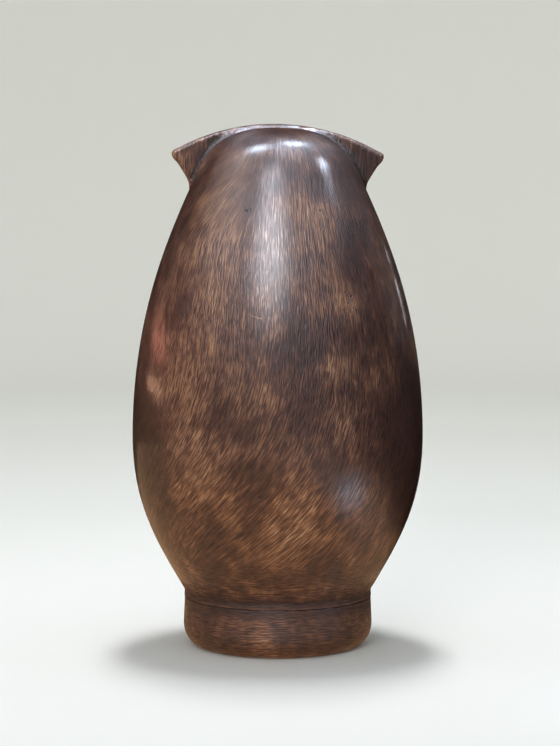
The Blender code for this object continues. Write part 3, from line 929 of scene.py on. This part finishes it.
felt_finish, wire = new_finish("green_felt")
place = wire.node("ShaderNodeTexCoord", {}, {}, "Object")
wool = place.scaled(700, 700, 700).noise(4, 0.7)
clumps = place.scaled(120, 120, 120).noise(2)
tuft = 0.5 + 0.5 * wool + 0.3 * clumps
colour = tuft.ramp((0.0, (0.012, 0.032, 0.018)), (1.0, (0.055, 0.110, 0.066)))
bump = wire.node("ShaderNodeBump", {}, {"Strength": 0.7, "Distance": 0.0003, "Height": wool})
sockets = {"Base Color": colour, "Roughness": 0.95, "Sheen Weight": 0.3, "Normal": bump}
wire.surface(sockets)

felt_points = [(0, 0), (FELT_R - 0.4, 0), (FELT_R - 0.1, 0.15), (FELT_R, 0.5), (FELT_R, FELT_T - 0.4)]
felt_points += [(FELT_R - 0.15, FELT_T - 0.1), (FELT_R - 0.5, FELT_T), (0, FELT_T)]
felt = spin(outline(straight(felt_points), 4), 180)
points = points_of(felt)
x, y, z = points.T
bearing = np.arctan2(y, x)
ragged = 1 - 0.0045 * (1 + np.sin(23 * bearing) * np.sin(41 * bearing + 1)) * (z > 0.1)
put_points(felt, np.column_stack([x * ragged, y * ragged, z]))
finish_piece(felt, "felt_base", "felt_pad", felt_finish)


# ---- Floor, lights and camera ----
# A pale paper sweep curved up all round, its colour painted darker near the figure and lighter further out
# and its far part glowing: painted shade and light. A soft light overhead and one behind, and glowing cards
# hung round the figure for its wax to catch.

sweep = outline(
    [
        ((0, 0), (0, 0), (300, 0)),
        ((1400, 0), (-300, 0), (500, 0)),
        ((2300, 900), (0, -500), (0, 300)),
        ((2300, 2100), (0, -300), (0, 0)),
    ],
    16,
)
spin(sweep, 96)
bpy.ops.object.shade_smooth()
sweep.name = "paper_sweep"
sweep.visible_glossy = False
paper, wire = new_finish("pale_paper_painted_light")
place = wire.node("ShaderNodeTexCoord", {}, {}, "Object")
far = wire.node("ShaderNodeVectorMath", {"operation": "LENGTH"}, {0: place}, "Value")
fibre = place.scaled(9, 9, 9).noise(3.0)
near, middle, edge = (0.725, 0.735, 0.725), (0.71, 0.725, 0.71), (0.82, 0.825, 0.79)
stops = (0.04, near), (1.0, edge), (0.16, middle), (0.4, (0.90, 0.91, 0.88))
# The paper's colour is painted shade and light: darker near the figure, lighter further out.
shade = (far * 0.4 + 0.01 * fibre).ramp(*stops)
# The far paper glows: painted light.
painted_far_glow = far.ease(0.3, 2.0).ramp((0.0, (0, 0, 0)), (1.0, (0.165, 0.165, 0.153)))
wire.surface({"Base Color": shade, "Roughness": 0.9, "Emission Color": painted_far_glow, "Emission Strength": 1.0})
coat_on(sweep, paper)

world = bpy.data.worlds.new("room")
bpy.context.scene.world = world
world.use_nodes = True
world.node_tree.nodes["Background"].inputs["Color"].default_value = (0.37, 0.38, 0.38, 1)
world.cycles_visibility.glossy = False


def softbox(name, spot, toward, distance, size, watts, colour=(1, 1, 1), spread=180):
    """A flat light that faces a spot on the figure and lights all but its gloss."""
    start_fresh()
    place = (Vector(spot) + Vector(toward).normalized() * distance) * MM
    bpy.ops.object.light_add(type="AREA", location=place)
    lamp = bpy.context.object
    lamp.name = name
    lamp.data.shape = "RECTANGLE"
    lamp.data.size, lamp.data.size_y = size[0] * MM, size[1] * MM
    lamp.data.energy = watts
    lamp.data.color = colour
    lamp.data.spread = math.radians(spread)
    lamp.rotation_euler = (Vector(spot) * MM - place).to_track_quat("-Z", "Y").to_euler()
    lamp.visible_camera = False
    lamp.visible_glossy = False


def card(name, spot, toward, distance, size, light, colour=(1, 1, 1), soft=0.0, fall=2.0):
    """A glowing card that only the wax sees, full to soft of the way out and then falling off."""
    start_fresh()
    bpy.ops.mesh.primitive_plane_add(size=MM)
    piece = bpy.context.object
    away = Vector(toward).normalized()
    turn = away.to_track_quat("Z", "Y").to_matrix().to_4x4()
    place = Matrix.Translation((Vector(spot) + away * distance) * MM) @ turn
    piece.data.transform(place @ Matrix.Diagonal((*size, 1, 1)))
    piece.name = name
    for sight in ("visible_camera", "visible_diffuse", "visible_shadow"):
        setattr(piece, sight, False)
    glow, wire = new_finish(name)
    spread = wire.node("ShaderNodeTexCoord", {}, {}, "UV")
    ends = {0: spread, 1: (0.5, 0.5, 0)}
    middle = spread.node("ShaderNodeVectorMath", {"operation": "DISTANCE"}, ends, "Value")
    fade = (1 - (2 * middle).ease(soft, 1.0)).maths("POWER", fall)
    tint = fade.ramp((0.0, (0, 0, 0)), (1.0, colour))
    shown = wire.node("ShaderNodeEmission", {}, {"Color": tint, "Strength": light})
    clear = wire.node("ShaderNodeBsdfTransparent", {}, {})
    both = wire.node("ShaderNodeAddShader", {}, {0: shown, 1: clear})
    wire.node("ShaderNodeOutputMaterial", {}, {"Surface": both})
    coat_on(piece, glow)


BLUISH = (0.68, 0.80, 1)
softbox("overhead", (0, 0, 0), (0, -0.20, 1), 900, (120, 300), 5.5)
softbox("front_fill", (0, 0, 100), (0.35, 1, 0.35), 1900, (800, 800), 1.5, (1, 0.94, 0.87), 60)
card("lamp_one", (8, 25, 200), (0.30, 0.07, 0.95), 700, (950, 1300), 52, BLUISH, fall=10)
card("lamp_two", (-7, 23, 202), (-0.23, -0.14, 0.97), 700, (800, 1150), 52, BLUISH, fall=10)
card("lamp_three", (-18, 24, 194), (-0.73, 0.06, 0.69), 700, (700, 620), 52, BLUISH, fall=10)
card("crown_glow", (-2, 24, 200), (-0.12, 0.1, 0.98), 750, (1900, 1200), 6.5, (0.70, 0.83, 1))
card("left_sky", (10, 30, 190), (0.60, 0.20, 0.75), 1000, (2000, 1600), 4.2, (0.9, 0.93, 1))
card("tall_window", (3, 46, 161), (0.11, 0.77, 0.62), 900, (1000, 1060), 25, (0.92, 0.93, 1))
card("low_window", (-28, 47, 66), (-0.79, 0.45, -0.41), 90, (110, 84), 4.5, (0.7, 0.8, 1))
card("red_cloth", (46, 29, 124), (0.90, -0.41, 0.12), 700, (760, 150), 5.0, (1, 0.36, 0.24), 0.15)
card("tan_cloth", (48, 30, 106), (0.92, -0.39, 0.02), 700, (600, 50), 6.0, (1, 0.55, 0.33), 0.4)

GLINTS = ((-34, 181), (-46, 147), (-49, 138), (-53, 121), (-56, 100))
for i, (across, up) in enumerate(GLINTS):
    card(f"glint_{i + 1}", (across, 9, up), (-0.60, -0.78, 0.14), 600, (60, 26), 11)

# A tan table top that only the wax sees, its far edge slanting behind the figure.
start_fresh()
bpy.ops.mesh.primitive_plane_add(size=1)
table = bpy.context.object
table.name = "table_glow"
TABLE_Z = -2
corners = ((459, -619), (-410, 140), (1500, 700), (400, 1700))
put_points(table, np.array([(across, back, TABLE_Z) for across, back in corners]))
for sight in ("visible_camera", "visible_diffuse", "visible_shadow"):
    setattr(table, sight, False)
glow, wire = new_finish("table_tan")
spread = wire.node("ShaderNodeTexCoord", {}, {}, "UV")
from_far_edge = spread.node("ShaderNodeSeparateXYZ", {}, {0: spread}, "Y")
tint = from_far_edge.ease(0, 0.06).ramp((0.0, (0, 0, 0)), (1.0, (0.55, 0.33, 0.18)))
glow_light = wire.node("ShaderNodeEmission", {}, {"Color": tint, "Strength": 1.1})
wire.node("ShaderNodeOutputMaterial", {}, {"Surface": glow_light})
coat_on(table, glow)

FRAME_H, CAMERA_AWAY, CAMERA_UP, CAMERA_DOWN = 746, 0.88, 0.1755, 4.25
camera_data = bpy.data.cameras.new("camera")
camera_data.sensor_width = 36.0
camera_data.lens = camera_data.sensor_width * 2184 / FRAME_H
camera = bpy.data.objects.new("camera", camera_data)
bpy.context.scene.collection.objects.link(camera)
camera.location = (0, CAMERA_AWAY, CAMERA_UP)
camera.rotation_euler = (math.radians(90 - CAMERA_DOWN), 0, math.radians(180))
camera_data.shift_x = 2.3 / FRAME_H
bpy.context.scene.camera = camera
bpy.context.scene.view_settings.view_transform = "Standard"
